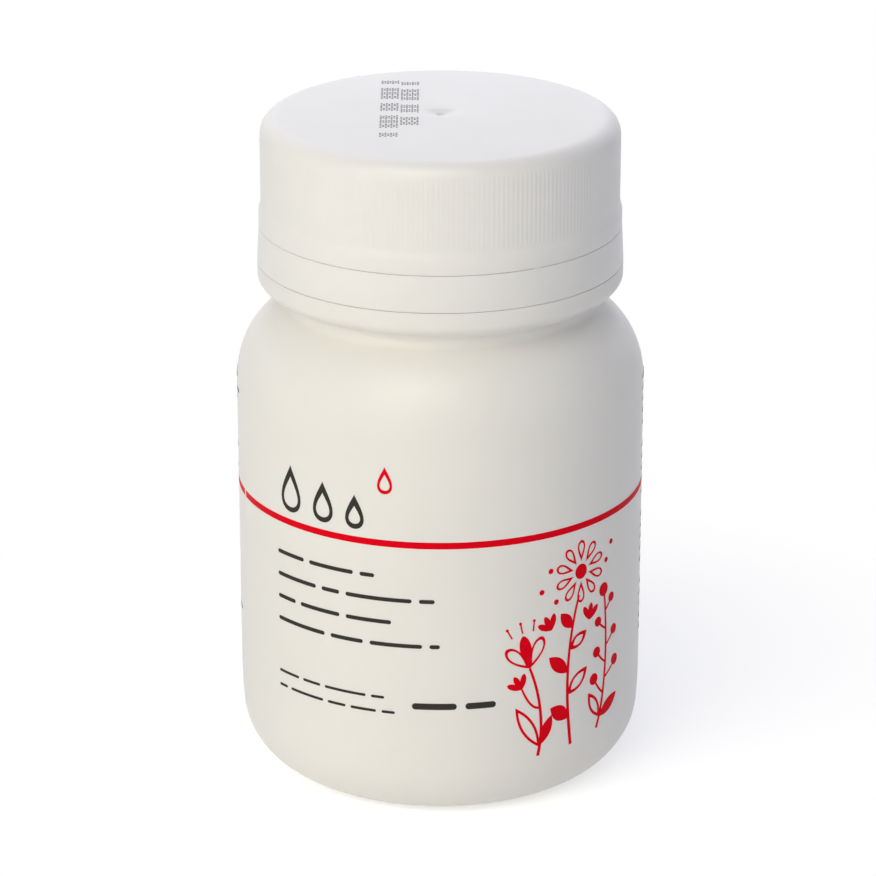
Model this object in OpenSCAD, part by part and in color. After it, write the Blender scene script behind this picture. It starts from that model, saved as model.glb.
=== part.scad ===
// A small wide-necked bottle with a ribbed screw cap, a tamper band, and a soaked foam sponge inside.
// Millimetres. The bottle stands on z = 0 with its axis on +Z, and its printed front faces -Y.

/* [Bottle body] */
// Outer diameter of the body
body_d = 48; // [46:0.5:58]
// Height at which the straight side ends and the shoulder starts
shoulder_z = 48; // [36:0.5:80]
// Wall thickness of the body, the shoulder and the floor
body_wall = 1.1; // [0.8:0.1:1.6]
// Radius of the heel's corner
heel_r = 7.7; // [5:0.1:9]
// Radius of the slow curve between the side and the heel
heel_lead_r = 66; // [40:1:90]
// How far the slow curve turns, in degrees
heel_lead_turn = 4.4; // [2:0.1:7]
// Width of the flat ring that the bottle stands on
foot_w = 1.0; // [0.6:0.1:2]
// How far the middle of the base is pushed up
base_push = 2.2; // [1:0.1:4]
// Width of the shoulder's curve, measured inwards
shoulder_w = 8.8; // [6:0.1:10]
// Height of the shoulder's curve
shoulder_h = 9.8; // [7:0.1:14]

/* [Neck] */
// Outer diameter of the neck's thread
neck_thread_d = 37.4; // [34:0.1:39]
// How far the neck's thread stands out of the neck
neck_thread_h = 1.15; // [0.9:0.05:1.4]
// Wall thickness of the neck under the thread
neck_wall = 1.75; // [1.2:0.05:2.4]
// Rise of the thread in one turn
thread_lead = 4.2; // [3.8:0.1:5]
// Turns of thread on the neck, and on the cap
thread_turns = 1.5; // [1.25:0.05:1.6]
// Height of the neck above its collar
neck_h = 14.45; // [14:0.05:18]
// Height of the collar, its curved underside included
collar_h = 3.65; // [3:0.05:5]
// Height of the collar's curved underside
collar_under_h = 2.1; // [1:0.1:2.6]
// Height between the top of the shoulder and the collar
waist_h = 1.1; // [0.6:0.1:3]
// How far the snap bead stands out past the thread
bead_out = 0.65; // [0.4:0.05:0.8]
// Height of the snap bead's flat underside above the collar
bead_z = 2.65; // [2.5:0.05:2.8]

/* [Cap] */
// Thickness of the cap's top at its edge
cap_top_t = 1.3; // [1:0.05:2]
// How far the middle of the cap's top stands up over its edge
crown_h = 0.3; // [0.2:0.1:1.2]
// Wall thickness of the cap behind its ribs
cap_wall = 1.64; // [1.2:0.02:2.2]
// Number of grip ribs
rib_count = 230; // [60:1:240]
// Depth of the grooves between the ribs
rib_depth = 0.12; // [0.08:0.01:0.35]
// Height of the smooth skirt below the ribs, with its flare
skirt_h = 2.65; // [1.6:0.05:4]
// Height of the flare that joins the skirt to the ribs
flare_h = 1.0; // [0.5:0.1:1.4]
// How far the skirt stands out past the rim
skirt_out = 0.27; // [0.1:0.01:0.5]
// Width of the rounded top edge
top_round_w = 2.2; // [0.8:0.05:2.6]
// Height of the rounded top edge
top_round_h = 2.25; // [0.8:0.05:2.6]
// Diameter of the shallow dish round the mould's gate
gate_d = 6.4; // [3:0.1:9]
// Depth of the dish
gate_depth = 0.45; // [0.2:0.05:0.6]
// Depth of the small pit in the middle of the dish
pit_depth = 0.2; // [0.1:0.05:0.4]

/* [Tamper band] */
// Height of the band
band_h = 4.15; // [4:0.05:4.6]
// How much wider the band is at its foot than at its top, on the radius
band_flare = 0.22; // [0:0.01:0.4]
// Height of the slit between the cap and the band
slit_h = 0.12; // [0.1:0.01:0.4]
// Number of bridges across the slit
bridge_count = 4; // [3:1:12]
// Width of a bridge
bridge_w = 0.8; // [0.4:0.1:1.4]
// Direction of the first bridge, in degrees to the right of the front
bridge_turn = 31; // [0:1:90]
// Number of catch flaps inside the band
flap_count = 10; // [6:1:14]
// Width of a flap, in degrees
flap_sweep = 24; // [14:1:25]
// Thickness of a flap
flap_t = 0.55; // [0.4:0.05:0.7]

/* [Liner] */
// Thickness of the liner
liner_t = 1.35; // [1:0.05:2]

/* [Sponge] */
// Diameter of the finger hole
finger_d = 13; // [11:0.5:18]
// Depth of the finger hole
finger_depth = 34; // [15:0.5:36]
// Radius of the finger hole's mouth
finger_mouth_r = 2.2; // [1:0.1:3]
// Radius of the sponge's top edge
sponge_edge_r = 2.5; // [1:0.1:4]
// How far the sponge stands up past the start of the shoulder
sponge_rise = 1.5; // [0:0.1:3]

/* [Clearances] */
// Gap between the band and the collar
band_gap = 0.15; // [0.1:0.05:0.6]
// Gap between the band's bore and the snap bead, on the radius
bead_gap = 0.4; // [0.3:0.05:0.6]
// Gap between the neck's thread and the cap's bore, on the radius
thread_side_gap = 0.4; // [0.3:0.05:0.6]
// Gap between the cap's thread and the neck, on the radius
thread_tip_gap = 0.4; // [0.3:0.05:0.5]
// Gap between the flanks of the two threads
flank_gap = 0.3; // [0.2:0.05:0.4]
// Gap above and below the liner
liner_gap = 0.05; // [0.03:0.01:0.1]
// Gap round the liner
liner_side_gap = 0.25; // [0.15:0.05:0.4]
// Gap between a bridge's broken end and the band
bridge_gap = 0.04; // [0.03:0.01:0.07]
// Gap between the sponge and the bottle's wall
sponge_gap = 0.4; // [0.2:0.1:1]
// Gap round the pool of remover
pool_gap = 0.05; // [0.03:0.01:0.2]

/* [Hidden] */
$fn = 96;

WHITE = [0.94, 0.93, 0.91];
CAP_WHITE = [0.93, 0.93, 0.95];
FOAM = [0.93, 0.87, 0.70];
LINER = [0.97, 0.97, 0.97];
FLUID = [0.95, 0.86, 0.70, 0.6];

// Steps along a quarter turn of a profile, round one turn of thread, and across the cap's crown
ARC_STEPS = 14;
THREAD_STEPS = 36;
CROWN_STEPS = 6;
// How deep a piece is sunk into the wall that carries it, so that the two are one solid
SINK = 0.3;

// Body
body_r = body_d / 2;
heel_lead_drop = heel_lead_r * sin(heel_lead_turn);
heel_lead_in = heel_lead_r * (1 - cos(heel_lead_turn));
heel_x = body_r - heel_lead_in - heel_r * cos(heel_lead_turn);
heel_top_z = heel_r * (1 - sin(heel_lead_turn)) + heel_lead_drop;
foot_r = heel_x - foot_w;
push_r = (foot_r * foot_r + base_push * base_push) / (2 * base_push);

// Neck
thread_r = neck_thread_d / 2;
neck_r = thread_r - neck_thread_h;
neck_bore_r = neck_r - neck_wall;
lower_neck_r = neck_r + 0.35;
waist_fillet = 1.2;
bead_r = thread_r + bead_out;
shoulder_x = body_r - shoulder_w;
collar_under_z = shoulder_z + shoulder_h + waist_h;
collar_z = collar_under_z + collar_h;
neck_top_z = collar_z + neck_h;
bead_under_z = collar_z + bead_z;
bead_edge_h = 0.45;
bead_slope_h = 1.5;
rim_round = 0.45;

// Threads: width where the ridge leaves the wall, and along its crest
ridge_base_w = 2.1;
ridge_crest_w = 0.9;
ridge_mid_w = (ridge_base_w + ridge_crest_w) / 2;
ridge_fade = 35;
// Where the ridges start, counter-clockwise from +X
neck_thread_turn = 5;
cap_thread_turn = 125;
thread_start_z = collar_z + 6.4;

// Cap, from the liner outwards
cap_bore_r = thread_r + thread_side_gap;
rib_root_r = cap_bore_r + cap_wall;
rib_r = rib_root_r + rib_depth;
rim_r = rib_r + 0.04;
skirt_r = rim_r + skirt_out;
cap_under_z = neck_top_z + liner_gap + liner_t + liner_gap;
cap_edge_z = cap_under_z + cap_top_t;
cap_top_z = cap_edge_z + crown_h;
crown_w = rim_r - top_round_w;
crown_r = (crown_w * crown_w + crown_h * crown_h) / (2 * crown_h);
crown_edge = asin(crown_w / crown_r);
pit_r = 0.35;
band_z = collar_z + band_gap;
band_top_z = band_z + band_h;
skirt_z = band_top_z + slit_h;
rib_z = skirt_z + skirt_h;
rib_top_z = cap_edge_z - top_round_h;
cap_thread_r = neck_r + thread_tip_gap;
cap_thread_start_z = thread_start_z - ridge_mid_w - flank_gap;
keeper_r = cap_bore_r - 0.5;
keeper_h = 0.6;
keeper_z = neck_top_z - keeper_h - 0.05;
liner_r = cap_bore_r - liner_side_gap;

// Tamper band
band_foot_r = skirt_r + band_flare;
band_bore_r = bead_r + bead_gap;
collar_r = band_foot_r;
flap_tip_r = lower_neck_r + 0.55;
flap_tip_z = bead_under_z - 0.2;
flap_root_z = band_z + 0.45;
bridge_t = 0.6;

// Sponge and pool
sponge_z = base_push + body_wall + 0.2;
sponge_top_z = shoulder_z + sponge_rise;
sponge_inset = body_wall + sponge_gap;

// Points along an elliptical arc, from angle a0 to angle a1
function arc(x, z, rx, rz, a0, a1) =
    let (n = max(2, ceil(ARC_STEPS * abs(a1 - a0) / 90)))
    [for (i = [0:n]) let (a = a0 + (a1 - a0) * i / n) [x + rx * cos(a), z + rz * sin(a)]];

// The heel at a given depth under the outer surface, from angle a0 up to the straight side
function heel(inset, a0 = -90) = concat(
    arc(heel_x, heel_r, heel_r - inset, heel_r - inset, a0, -heel_lead_turn),
    arc(body_r - heel_lead_r, heel_top_z, heel_lead_r - inset, heel_lead_r - inset, -heel_lead_turn * 0.75, 0));

// The pushed-up base at a given height over the outer surface, from the middle out to the foot
function dome(inset) =
    let (r = push_r + inset, z = base_push - push_r, edge = asin(min(1, sqrt(r * r - pow(inset - z, 2)) / r)))
    [for (i = [0:ARC_STEPS]) let (a = edge * i / ARC_STEPS) [r * sin(a), z + r * cos(a)]];

// Where the shoulder's curve has to stop for a fillet of a given radius to reach the waist
function shoulder_normal(t) = let (n = [cos(t) / shoulder_w, sin(t) / shoulder_h]) n / norm(n);
function shoulder_stop(lo, hi, steps) =
    let (t = (lo + hi) / 2, reach = shoulder_x + shoulder_w * cos(t) + waist_fillet * shoulder_normal(t)[0])
    steps == 0 ? t
    : reach > lower_neck_r + waist_fillet ? shoulder_stop(t, hi, steps - 1)
    : shoulder_stop(lo, t, steps - 1);

// Outside of the bottle, from the middle of the base up to the neck's rim
function bottle_outside() =
    let (stop = shoulder_stop(0, 90, 20),
         fillet_z = shoulder_z + shoulder_h * sin(stop) + waist_fillet * shoulder_normal(stop)[1],
         fillet_a = atan2(shoulder_normal(stop)[1], shoulder_normal(stop)[0]),
         under_w = collar_r - lower_neck_r)
    concat(
        dome(0),
        heel(0),
        arc(shoulder_x, shoulder_z, shoulder_w, shoulder_h, 0, stop),
        arc(lower_neck_r + waist_fillet, fillet_z, waist_fillet, waist_fillet, 180 + fillet_a, 180),
        arc(lower_neck_r, collar_under_z + collar_under_h, under_w, collar_under_h, -84, 0),
        arc(collar_r - 0.25, collar_z - 0.25, 0.25, 0.25, 0, 90),
        [[lower_neck_r, collar_z],
         [lower_neck_r, bead_under_z],
         [bead_r - 0.15, bead_under_z],
         [bead_r, bead_under_z + 0.15],
         [bead_r, bead_under_z + bead_edge_h],
         [neck_r, bead_under_z + bead_edge_h + bead_slope_h]],
        arc(neck_r - rim_round, neck_top_z - rim_round, rim_round, rim_round, 0, 90));

// Inside of the bottle, from the neck's rim down to the middle of the floor
function bottle_inside() =
    let (w = shoulder_w - body_wall, h = shoulder_h - body_wall,
         stop = acos(max(0, min(1, (neck_bore_r - shoulder_x) / w))),
         floor = dome(body_wall),
         side = concat(heel(body_wall), arc(shoulder_x, shoulder_z, w, h, 0, stop)))
    concat(
        [[neck_bore_r + rim_round, neck_top_z],
         [neck_bore_r, neck_top_z - rim_round],
         [neck_bore_r, shoulder_z + h * sin(stop) + 0.05]],
        [for (i = [len(side) - 1:-1:0]) side[i]],
        [for (i = [len(floor) - 1:-1:0]) floor[i]]);

// A right-hand screw ridge wound up a wall: it grows out of the wall at one end and sinks back at the other.
// base_z is the height that the ridge's middle has, or would have, over +X.
module ridge(wall_r, crest_r, base_z, start_turn, turns) {
    n = round(THREAD_STEPS * turns);
    out = crest_r > wall_r ? 1 : -1;
    depth = abs(crest_r - wall_r);
    points = [for (i = [0:n])
        let (a = 360 * turns * i / n,
             turned = a + start_turn,
             z = base_z + thread_lead * turned / 360,
             k = min(1, a / ridge_fade, (360 * turns - a) / ridge_fade),
             crest = wall_r + out * (depth * k - 0.1 * (1 - k)),
             base = wall_r - out * SINK * 1.4)
        for (p = [[base, -ridge_base_w / 2], [crest, -ridge_crest_w / 2],
                  [crest, ridge_crest_w / 2], [base, ridge_base_w / 2]])
            [p[0] * cos(turned), p[0] * sin(turned), z + p[1]]];
    sides = [for (i = [0:n - 1], j = [0:3])
        let (a = 4 * i + j, b = 4 * i + (j + 1) % 4)
        for (f = [[a, b, b + 4], [a, b + 4, a + 4]]) f];
    ends = [[3, 2, 1], [3, 1, 0], [4 * n, 4 * n + 1, 4 * n + 2], [4 * n, 4 * n + 2, 4 * n + 3]];
    faces = concat(sides, ends);
    polyhedron(points, out > 0 ? faces : [for (f = faces) [f[2], f[1], f[0]]]);
}

module bottle() {
    color(WHITE) union() {
        rotate_extrude() polygon(concat(bottle_outside(), bottle_inside()));
        ridge(neck_r, thread_r, thread_start_z, neck_thread_turn, thread_turns);
    }
}

// Outline of the grip: each rib has a flat crest, two sloping flanks and a flat groove beside it
module rib_outline() {
    pitch = 360 / rib_count;
    polygon([for (i = [0:rib_count - 1])
        for (p = [[0.15, rib_root_r], [0.35, rib_r], [0.65, rib_r], [0.85, rib_root_r]])
            let (a = pitch * (i + p[0])) [p[1] * cos(a), p[1] * sin(a)]]);
}

module grip() {
    translate([0, 0, rib_z - 0.1])
        linear_extrude(height = rib_top_z - rib_z + 0.2)
            difference() {
                rib_outline();
                circle(r = rib_root_r - 2 * SINK);
            }
}

// The crowned top, from the edge of the gate's dish out to the rounded edge
function crown() =
    let (start = asin(gate_d / 2 / crown_r))
    [for (i = [0:CROWN_STEPS]) let (a = start + (crown_edge - start) * i / CROWN_STEPS)
        [crown_r * sin(a), cap_top_z - crown_r * (1 - cos(a))]];

// Outside of the cap from the gate's pit and dish to the skirt's foot, then its inside back up to the liner's seat
function cap_profile() =
    let (gate_floor = cap_top_z - gate_depth, core_r = rib_root_r - SINK / 2, edge = 0.15)
    concat(
        [[0, gate_floor - pit_depth], [pit_r, gate_floor - pit_depth], [pit_r + 0.1, gate_floor],
         [0.3 * gate_d / 2, gate_floor]],
        crown(),
        arc(crown_w, cap_edge_z - top_round_h, top_round_w, top_round_h, 90 - crown_edge, 0),
        [[rim_r, rib_top_z], [core_r, rib_top_z], [core_r, rib_z], [rim_r, rib_z],
         [skirt_r, rib_z - flare_h], [skirt_r, skirt_z + edge], [skirt_r - edge, skirt_z],
         [cap_bore_r + SINK, skirt_z], [cap_bore_r, skirt_z + SINK],
         [cap_bore_r, keeper_z], [keeper_r, keeper_z + keeper_h * 0.4],
         [keeper_r, keeper_z + keeper_h * 0.6], [cap_bore_r, keeper_z + keeper_h],
         [cap_bore_r, cap_under_z], [0, cap_under_z]]);

module cap() {
    color(CAP_WHITE) union() {
        rotate_extrude() polygon(cap_profile());
        grip();
        ridge(cap_bore_r, cap_thread_r, cap_thread_start_z, cap_thread_turn, thread_turns);
    }
}

// The bridges stay on the cap when it is opened, so they end just short of the band
module tamper_bridges() {
    sweep = bridge_w / skirt_r * 180 / PI;
    color(CAP_WHITE)
        for (i = [0:bridge_count - 1])
            rotate([0, 0, bridge_turn - 90 - sweep / 2 + 360 / bridge_count * i])
                rotate_extrude(angle = sweep)
                    translate([skirt_r - 0.15 - bridge_t, band_top_z + bridge_gap])
                        square([bridge_t, slit_h - bridge_gap]);
}

module tamper_band() {
    edge = 0.2;
    color(CAP_WHITE) union() {
        rotate_extrude() polygon([
            [band_bore_r, band_z + edge], [band_bore_r + edge, band_z],
            [band_foot_r - edge, band_z], [band_foot_r, band_z + edge],
            [skirt_r, band_top_z - edge / 2], [skirt_r - edge / 2, band_top_z],
            [band_bore_r, band_top_z]]);
        for (i = [0:flap_count - 1])
            rotate([0, 0, 360 / flap_count * i])
                rotate_extrude(angle = flap_sweep) polygon([
                    [band_bore_r + SINK, flap_root_z], [band_bore_r + SINK, flap_root_z + flap_t],
                    [flap_tip_r, flap_tip_z], [flap_tip_r, flap_tip_z - flap_t * 0.7],
                    [band_bore_r - SINK, flap_root_z]]);
    }
}

module cap_liner() {
    color(LINER)
        translate([0, 0, neck_top_z + liner_gap])
            cylinder(r = liner_r, h = liner_t);
}

// A round foam plug cut to the bottle's inside, with a finger hole down its middle
module sponge() {
    foot_a = -asin((heel_r - sponge_z) / (heel_r - sponge_inset));
    side_r = body_r - sponge_inset;
    hole_r = finger_d / 2;
    hole_z = sponge_top_z - finger_depth;
    color(FOAM) rotate_extrude() polygon(concat(
        [[0, sponge_z]],
        heel(sponge_inset, foot_a),
        arc(side_r - sponge_edge_r, sponge_top_z - sponge_edge_r, sponge_edge_r, sponge_edge_r, 0, 90),
        arc(hole_r + finger_mouth_r, sponge_top_z - finger_mouth_r, finger_mouth_r, finger_mouth_r, 90, 180),
        arc(0, hole_z + hole_r, hole_r, hole_r, 0, -90)));
}

// The remover that the sponge hasn't soaked up lies round the pushed-up base, under the sponge
module remover_pool() {
    inset = body_wall + pool_gap;
    pool_top_z = sponge_z - pool_gap;
    top_a = -asin((heel_r - pool_top_z) / (heel_r - inset));
    color(FLUID) rotate_extrude() polygon(concat(
        dome(inset),
        arc(heel_x, heel_r, heel_r - inset, heel_r - inset, -90, top_a),
        [[0, pool_top_z]]));
}

bottle();
cap();
tamper_bridges();
tamper_band();
cap_liner();
sponge();
remover_pool();
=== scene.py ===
import random
from math import acos, asin, atan2, ceil, cos, degrees, hypot, pi, radians, sin, tau

import bmesh
import bpy
from bpy.props import FloatProperty, FloatVectorProperty, IntProperty, PointerProperty
from bpy.types import Operator, Panel, PropertyGroup
from mathutils import Matrix, Vector, noise


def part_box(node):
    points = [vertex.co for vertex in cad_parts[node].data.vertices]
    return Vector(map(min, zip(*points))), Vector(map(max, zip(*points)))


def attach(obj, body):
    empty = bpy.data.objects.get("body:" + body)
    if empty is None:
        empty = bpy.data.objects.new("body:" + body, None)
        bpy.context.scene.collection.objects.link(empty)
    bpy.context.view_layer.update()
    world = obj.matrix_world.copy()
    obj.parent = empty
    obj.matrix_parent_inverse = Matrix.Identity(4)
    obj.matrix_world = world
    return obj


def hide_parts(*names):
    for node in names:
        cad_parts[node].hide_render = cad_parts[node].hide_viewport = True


bl_info = {
    "name": "Sponge Jar",
    "version": (1, 0, 0),
    "blender": (4, 5, 0),
    "location": "View3D > Sidebar > Sponge Jar",
    "description": "A small white bottle with a ribbed screw cap, a tamper band and a soaked sponge",
    "category": "Object",
}

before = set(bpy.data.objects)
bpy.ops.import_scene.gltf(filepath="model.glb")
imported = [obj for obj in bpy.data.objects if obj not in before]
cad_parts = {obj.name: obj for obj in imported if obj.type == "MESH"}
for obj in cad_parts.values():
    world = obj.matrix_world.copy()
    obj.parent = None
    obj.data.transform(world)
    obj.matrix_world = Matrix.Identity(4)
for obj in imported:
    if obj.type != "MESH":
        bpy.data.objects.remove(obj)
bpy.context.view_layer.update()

# Metres. The jar stands on z = 0 with its axis on +Z, and its printed front faces -Y.
MM = 0.001
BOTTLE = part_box("bottle")
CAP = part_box("cap")
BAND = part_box("tamper_band")
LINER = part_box("cap_liner")
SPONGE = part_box("sponge")
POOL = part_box("remover_pool")

# Steps of a full turn in which the round pieces are spun
ROUND_STEPS = 192
HIDDEN_STEPS = 160
FOAM_STEPS = 300
STRIPE_STEPS = 240
COLUMNS_PER_RIB = 4

# Radius of the small edges on the neck, and spacing of the edges under the ribs
SMALL_EDGE = 0.15 * MM

# The plants' thin lines, and how much higher a mark stands that lies over another one
PLANT_LINE = 0.32 * MM
OVERPRINT = 1.3


def length(name, millimetres, description):
    """A size in metres, given in millimetres."""
    return FloatProperty(
        name=name, description=description, default=millimetres * MM, unit="LENGTH", precision=6
    )


def point(name, millimetres, description):
    """A point in metres, given in millimetres."""
    return FloatVectorProperty(
        name=name, description=description, default=[x * MM for x in millimetres], subtype="TRANSLATION",
        unit="LENGTH",
    )


def angle(name, turn, description):
    """An angle in radians, given in degrees."""
    return FloatProperty(name=name, description=description, default=radians(turn), unit="ROTATION")


def tally(name, number, fewest, most, description):
    """A whole number between two limits."""
    return IntProperty(name=name, description=description, default=number, min=fewest, max=most)


def share(name, value, description):
    """A plain number from 0 to 1."""
    return FloatProperty(
        name=name, description=description, default=value, min=0.0, max=1.0, subtype="FACTOR"
    )


def power(name, watts, description):
    """The power of a lamp."""
    return FloatProperty(name=name, description=description, default=watts, min=0.0, unit="POWER")


def tint(name, colour, description):
    """A colour in linear values."""
    return FloatVectorProperty(
        name=name, description=description, default=colour, subtype="COLOR", min=0.0, max=1.0
    )


class BottleSizes(PropertyGroup):
    wall: length("Wall", 1.1, "Wall of the body, the shoulder and the floor")
    heel_r: length("Heel radius", 7.7, "Radius of the heel's corner")
    heel_lead_r: length("Slow curve radius", 66, "Radius of the slow curve between the side and the heel")
    heel_lead_turn: angle("Slow curve turn", 4.4, "How far the slow curve turns")
    foot_w: length("Foot width", 1.0, "Width of the flat ring that the bottle stands on")
    base_push: length("Base push-up", 2.2, "How far the middle of the base is pushed up")
    shoulder_z: length("Shoulder height", 48, "Height at which the straight side ends")
    shoulder_w: length("Shoulder width", 8.8, "Width of the shoulder's curve")
    shoulder_h: length("Shoulder rise", 9.8, "Height of the shoulder's curve")
    waist_h: length("Waist", 1.1, "Height between the shoulder and the collar")
    waist_fillet: length("Waist fillet", 1.2, "Radius where the shoulder meets the waist")
    collar_h: length("Collar height", 3.65, "Height of the collar with its curved underside")
    collar_under_h: length("Collar underside", 2.1, "Height of the collar's curved underside")
    neck_r: length("Neck radius", 17.55, "Outer radius of the neck under its thread")
    lower_neck_r: length("Lower neck radius", 17.9, "Outer radius of the neck at the waist and the collar")
    neck_wall: length("Neck wall", 1.75, "Wall of the neck under its thread")
    bead_r: length("Snap bead radius", 19.35, "Outer radius of the snap bead")
    bead_z: length("Snap bead height", 2.65, "Height of the bead's flat underside above the collar")
    bead_edge_h: length("Snap bead edge", 0.45, "Height of the bead's edge")
    bead_slope_h: length("Snap bead slope", 1.5, "Height of the slope on top of the bead")
    rim_round: length("Rim rounding", 0.45, "Radius of the neck's rounded rim")


class ThreadSizes(PropertyGroup):
    depth: length("Depth", 1.15, "How far a thread stands out of its wall")
    lead: length("Lead", 4.2, "Rise of the thread in one turn")
    base_w: length("Root width", 2.1, "Width of the ridge where it leaves the wall")
    crest_w: length("Crest width", 0.9, "Width of the ridge along its crest")
    crest_round: length("Crest rounding", 0.16, "How much of the crest's corners is rounded off")
    turns: FloatProperty(name="Turns", description="Turns of thread on the neck and in the cap", default=1.5)
    fade: angle("Fade", 35, "Angle over which an end of the ridge sinks away")
    neck_z: length("Neck thread height", 6.4, "Height of the neck's ridge over +X, above the collar")
    neck_turn: angle("Neck thread start", 5, "Where the neck's ridge starts, counted from +X")
    cap_turn: angle("Cap thread start", 125, "Where the cap's ridge starts, counted from +X")
    flank_gap: length("Flank gap", 0.3, "Gap between the flanks of the two threads")


class CapSizes(PropertyGroup):
    wall: length("Wall", 1.64, "Wall behind the ribs")
    bore_r: length("Bore radius", 19.1, "Radius of the cap's bore")
    rib_count: tally("Ribs", 230, 60, 240, "Number of grip ribs")
    rib_depth: length("Rib depth", 0.018, "Depth of the grooves between the ribs")
    rib_z: length("Rib foot", 2.65, "Height of the ribs' foot above the cap's lower edge")
    flare_h: length("Flare height", 1.0, "Height of the flare that joins the skirt to the ribs")
    rim_r: length("Rim radius", 20.9, "Radius of the smooth rim above and below the ribs")
    skirt_r: length("Skirt radius", 21.17, "Radius of the skirt")
    round_w: length("Top edge width", 2.2, "Width of the rounded top edge")
    round_h: length("Top edge height", 2.25, "Height of the rounded top edge")
    top_t: length("Top thickness", 1.3, "Thickness of the cap's top at its edge")
    crown_h: length("Crown", 0.3, "How far the middle of the top stands up over its edge")
    gate_r: length("Gate dish radius", 2.8, "Radius of the shallow dish round the mould's gate")
    gate_depth: length("Gate dish depth", 0.40, "Depth of the dish")
    pit_r: length("Gate pit radius", 0.42, "Radius of the small pit in the middle of the dish")
    pit_depth: length("Gate pit depth", 0.2, "Depth of the pit under the dish")
    keeper_out: length("Keeper bead", 0.5, "How far the bead that holds the liner stands in")
    keeper_h: length("Keeper height", 0.6, "Height of that bead from its foot to its top")
    keeper_z: length("Keeper place", 76.35, "Height of that bead's foot above the floor")
    band_bore_r: length("Band bore", 19.75, "Radius of the band's bore")
    flap_count: tally("Flaps", 10, 6, 14, "Number of catch flaps in the band")
    flap_sweep: angle("Flap sweep", 24, "Width of a catch flap")
    flap_t: length("Flap thickness", 0.55, "Thickness of a catch flap")
    flap_tip_r: length("Flap tip radius", 18.45, "Radius of the flaps' tips")
    flap_tip_z: length("Flap tip height", 2.3, "Height of the flaps' tips above the band's foot")
    flap_root_z: length("Flap root height", 0.45, "Height of the flaps' roots above the band's foot")
    seam: length("Seam", 0.06, "Height of the two thin gaps over and under the band")
    seam_round: length("Seam edges", 0.05, "Radius of the edges at the two gaps")
    bridge_count: tally("Bridges", 4, 3, 12, "Number of bridges across the slit")
    bridge_w: length("Bridge width", 0.8, "Width of a bridge")
    bridge_turn: angle("First bridge", 31, "Place of the first bridge, right of the front")


class SpongeSizes(PropertyGroup):
    side_r: length("Radius", 22.5, "Radius of the sponge's side")
    edge_r: length("Top edge radius", 2.5, "Radius of the sponge's top edge")
    hole_r: length("Finger hole radius", 6.5, "Radius of the finger hole")
    hole_depth: length("Finger hole depth", 34, "Depth of the finger hole")
    mouth_r: length("Mouth radius", 2.2, "Radius of the finger hole's mouth")
    cell: length("Cell size", 1.3, "Width of one cell of the foam")
    cell_depth: length("Cell depth", 0.32, "Depth of the open cells at the surface")


class PrintSizes(PropertyGroup):
    ink_t: length("Ink thickness", 0.014, "How far the ink stands proud of the plastic")
    ink_sunk: length("Ink root", 0.03, "How far the ink reaches into the plastic")
    stripe_z: length("Stripe height", 35.6, "Height of the red stripe's middle")
    stripe_w: length("Stripe width", 0.8, "Width of the red stripe")
    stripe_break: angle("Stripe break", -72.6, "Where the stripe's ends meet, right of the front")
    stripe_gap: length("Stripe gap", 0.5, "Gap between the stripe's ends")
    margin_u: length("Left margin", -21.6, "Left edge of the front's marks, along the side from the front")
    back_from: angle("Back panel start", 82, "Left edge of the back panel, right of the front")
    back_to: angle("Back panel end", 282, "Right edge of the back panel, right of the front")


class Finishes(PropertyGroup):
    bottle: tint("Bottle", (0.84, 0.83, 0.80), "Blow-moulded polyethylene")
    cap: tint("Cap", (0.84, 0.832, 0.815), "Injection-moulded polypropylene")
    ink_red: tint("Red ink", (0.80, 0.001, 0.012), "Red of the stripe and the plants")
    ink_grey: tint("Grey ink", (0.044, 0.043, 0.036), "Grey of the front's marks")
    code: tint("Code ink", (0.045, 0.042, 0.06), "Grey of the dots on the cap")
    foam: tint("Foam", (0.86, 0.74, 0.50), "The sponge's soaked foam")
    liner: tint("Liner", (0.84, 0.84, 0.83), "Foamed polyethylene of the liner")
    remover: tint("Remover", (0.90, 0.72, 0.42), "The liquid")
    bottle_rough: share("Bottle roughness", 0.42, "Roughness of the bottle")
    cap_rough: share("Cap roughness", 0.36, "Roughness of the cap")


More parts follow.
